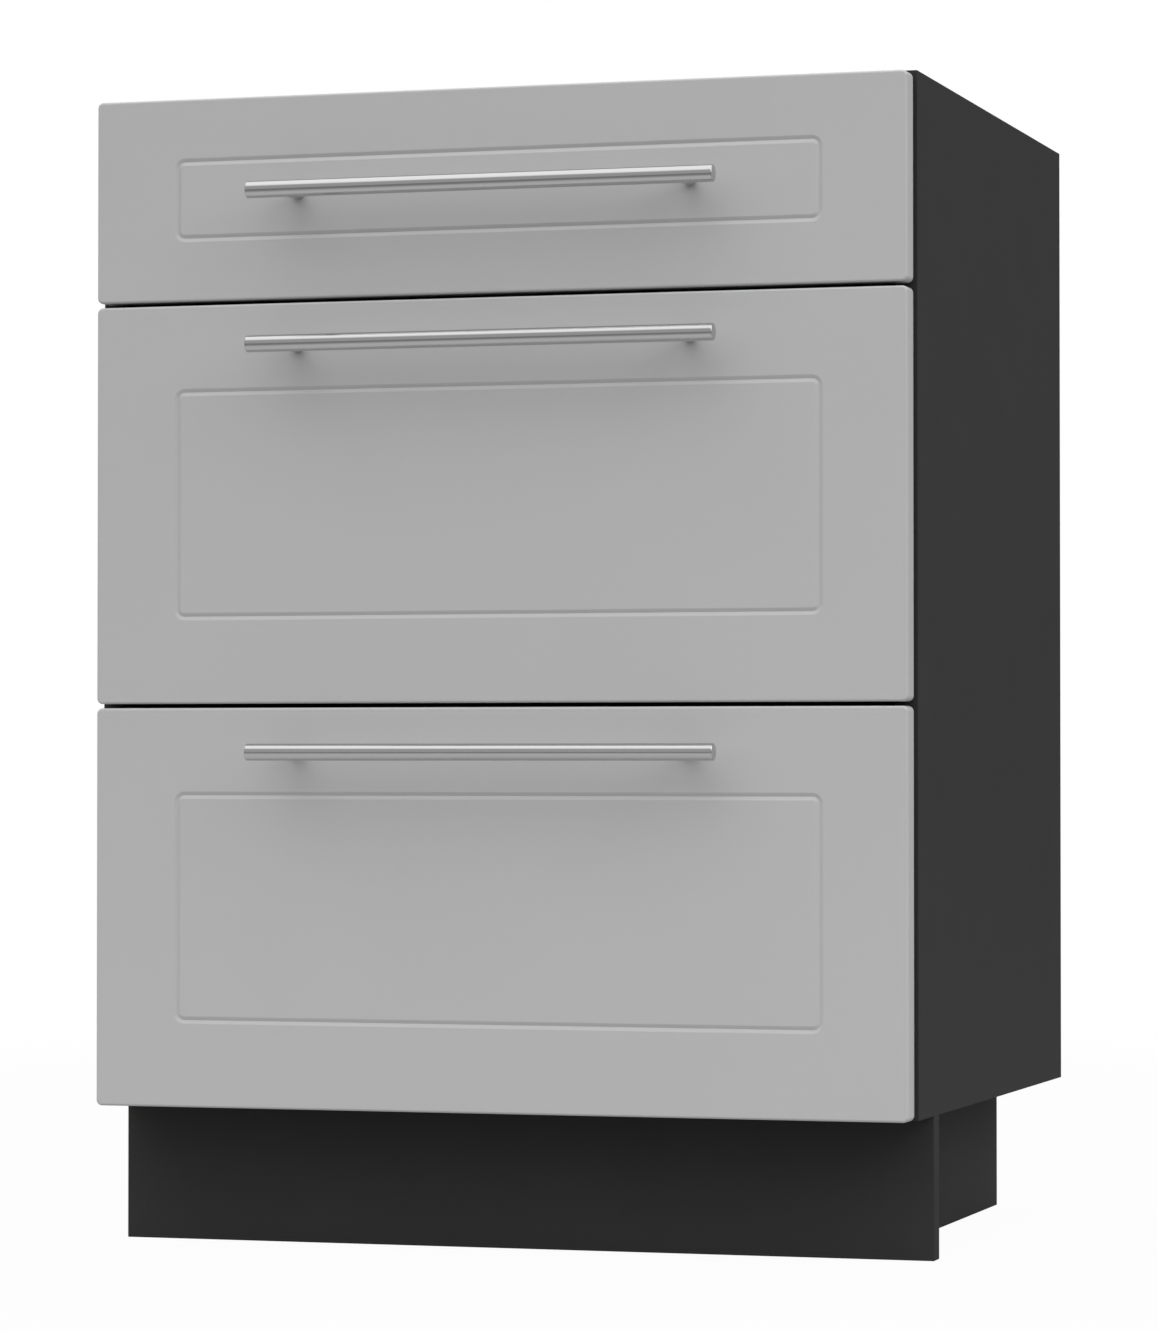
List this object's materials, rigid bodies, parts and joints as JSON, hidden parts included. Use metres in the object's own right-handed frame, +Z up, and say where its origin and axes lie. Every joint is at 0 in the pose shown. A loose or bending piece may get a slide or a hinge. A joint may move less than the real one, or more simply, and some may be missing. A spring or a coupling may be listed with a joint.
{
  "type": "base cabinet with drawers",
  "caption": "Kitchen base cabinet with shallow and deep drawers, milled-frame fronts, round bar handles, ball slides and a recessed plinth.",
  "frame": {"origin": "on the floor, under the middle of the whole unit's box with the drawers shut", "axes": "+X to the right as seen from the front, +Y to the back, +Z up; the drawers open along -Y"},
  "size_m": [0.6, 0.55, 0.82],
  "materials": {
    "carcass_board": "anthracite melamine-faced chipboard, fine matt texture",
    "plinth_board": "anthracite melamine-faced chipboard, matt",
    "front_board": "light grey matt lacquered MDF with soft rounded edges",
    "handle_steel": "fine brushed stainless steel",
    "box_board": "pale grey melamine-faced chipboard",
    "base_board": "pale grey coated hardboard",
    "back_board": "pale grey coated hardboard",
    "slide_steel": "bright zinc-plated steel sheet",
    "ball_cage": "zinc-plated cages with polished steel balls",
    "screw_steel": "zinc-plated steel screws",
    "cam_metal": "die-cast zinc alloy",
    "bracket_metal": "zinc-plated steel angle",
    "dowel_wood": "fluted beech",
    "bumper_plastic": "translucent soft bumper"
  },
  "bodies": {
    "carcass": {"side_panel_left": "carcass_board", "side_panel_right": "carcass_board", "bottom_panel": "carcass_board", "top_rail_front": "carcass_board", "top_rail_rear": "carcass_board", "back_panel": "back_board", "carcass_dowels": "dowel_wood", "carcass_cam_bolts": "screw_steel", "carcass_cams": "cam_metal", "carcass_screws": "screw_steel", "front_bumpers": "bumper_plastic", "plinth_front": "plinth_board", "plinth_side_left": "plinth_board", "plinth_side_right": "plinth_board", "plinth_back": "plinth_board", "plinth_brackets": "bracket_metal", "slide_cabinet_members": "slide_steel"},
    "drawer_top": {"front_panel_top": "front_board", "handle_bar_top": "handle_steel", "handle_posts_top": "handle_steel", "handle_screws_top": "screw_steel", "box_front_top": "box_board", "box_back_top": "box_board", "box_sides_top": "box_board", "box_base_top": "base_board", "box_dowels_top": "dowel_wood", "drawer_screws_top": "screw_steel", "slide_drawer_members_top": "slide_steel"},
    "slides_top": {"slide_middle_members_top": "slide_steel"},
    "cages_outer_top": {"ball_cages_outer_top": "ball_cage"},
    "cages_inner_top": {"ball_cages_inner_top": "ball_cage"},
    "drawer_middle": {"front_panel_middle": "front_board", "handle_bar_middle": "handle_steel", "handle_posts_middle": "handle_steel", "handle_screws_middle": "screw_steel", "box_front_middle": "box_board", "box_back_middle": "box_board", "box_sides_middle": "box_board", "box_base_middle": "base_board", "box_dowels_middle": "dowel_wood", "drawer_screws_middle": "screw_steel", "slide_drawer_members_middle": "slide_steel"},
    "slides_middle": {"slide_middle_members_middle": "slide_steel"},
    "cages_outer_middle": {"ball_cages_outer_middle": "ball_cage"},
    "cages_inner_middle": {"ball_cages_inner_middle": "ball_cage"},
    "drawer_bottom": {"front_panel_bottom": "front_board", "handle_bar_bottom": "handle_steel", "handle_posts_bottom": "handle_steel", "handle_screws_bottom": "screw_steel", "box_front_bottom": "box_board", "box_back_bottom": "box_board", "box_sides_bottom": "box_board", "box_base_bottom": "base_board", "box_dowels_bottom": "dowel_wood", "drawer_screws_bottom": "screw_steel", "slide_drawer_members_bottom": "slide_steel"},
    "slides_bottom": {"slide_middle_members_bottom": "slide_steel"},
    "cages_outer_bottom": {"ball_cages_outer_bottom": "ball_cage"},
    "cages_inner_bottom": {"ball_cages_inner_bottom": "ball_cage"}
  },
  "joints": [
    {"name": "drawer_top_slide", "type": "slide", "parent": "carcass", "child": "drawer_top", "axis": [0, -1, 0], "range_m": [0, 0.45]},
    {"name": "slides_top_slide", "type": "slide", "parent": "carcass", "child": "slides_top", "axis": [0, -1, 0], "range_m": [0, 0.225]},
    {"name": "cages_outer_top_slide", "type": "slide", "parent": "carcass", "child": "cages_outer_top", "axis": [0, -1, 0], "range_m": [0, 0.1125]},
    {"name": "cages_inner_top_slide", "type": "slide", "parent": "carcass", "child": "cages_inner_top", "axis": [0, -1, 0], "range_m": [0, 0.3375]},
    {"name": "drawer_middle_slide", "type": "slide", "parent": "carcass", "child": "drawer_middle", "axis": [0, -1, 0], "range_m": [0, 0.45]},
    {"name": "slides_middle_slide", "type": "slide", "parent": "carcass", "child": "slides_middle", "axis": [0, -1, 0], "range_m": [0, 0.225]},
    {"name": "cages_outer_middle_slide", "type": "slide", "parent": "carcass", "child": "cages_outer_middle", "axis": [0, -1, 0], "range_m": [0, 0.1125]},
    {"name": "cages_inner_middle_slide", "type": "slide", "parent": "carcass", "child": "cages_inner_middle", "axis": [0, -1, 0], "range_m": [0, 0.3375]},
    {"name": "drawer_bottom_slide", "type": "slide", "parent": "carcass", "child": "drawer_bottom", "axis": [0, -1, 0], "range_m": [0, 0.45]},
    {"name": "slides_bottom_slide", "type": "slide", "parent": "carcass", "child": "slides_bottom", "axis": [0, -1, 0], "range_m": [0, 0.225]},
    {"name": "cages_outer_bottom_slide", "type": "slide", "parent": "carcass", "child": "cages_outer_bottom", "axis": [0, -1, 0], "range_m": [0, 0.1125]},
    {"name": "cages_inner_bottom_slide", "type": "slide", "parent": "carcass", "child": "cages_inner_bottom", "axis": [0, -1, 0], "range_m": [0, 0.3375]}
  ],
  "couplings": [
    {"joint": "slides_top_slide", "follows": "drawer_top_slide", "ratio": 0.5},
    {"joint": "cages_outer_top_slide", "follows": "drawer_top_slide", "ratio": 0.25},
    {"joint": "cages_inner_top_slide", "follows": "drawer_top_slide", "ratio": 0.75},
    {"joint": "slides_middle_slide", "follows": "drawer_middle_slide", "ratio": 0.5},
    {"joint": "cages_outer_middle_slide", "follows": "drawer_middle_slide", "ratio": 0.25},
    {"joint": "cages_inner_middle_slide", "follows": "drawer_middle_slide", "ratio": 0.75},
    {"joint": "slides_bottom_slide", "follows": "drawer_bottom_slide", "ratio": 0.5},
    {"joint": "cages_outer_bottom_slide", "follows": "drawer_bottom_slide", "ratio": 0.25},
    {"joint": "cages_inner_bottom_slide", "follows": "drawer_bottom_slide", "ratio": 0.75}
  ]
}
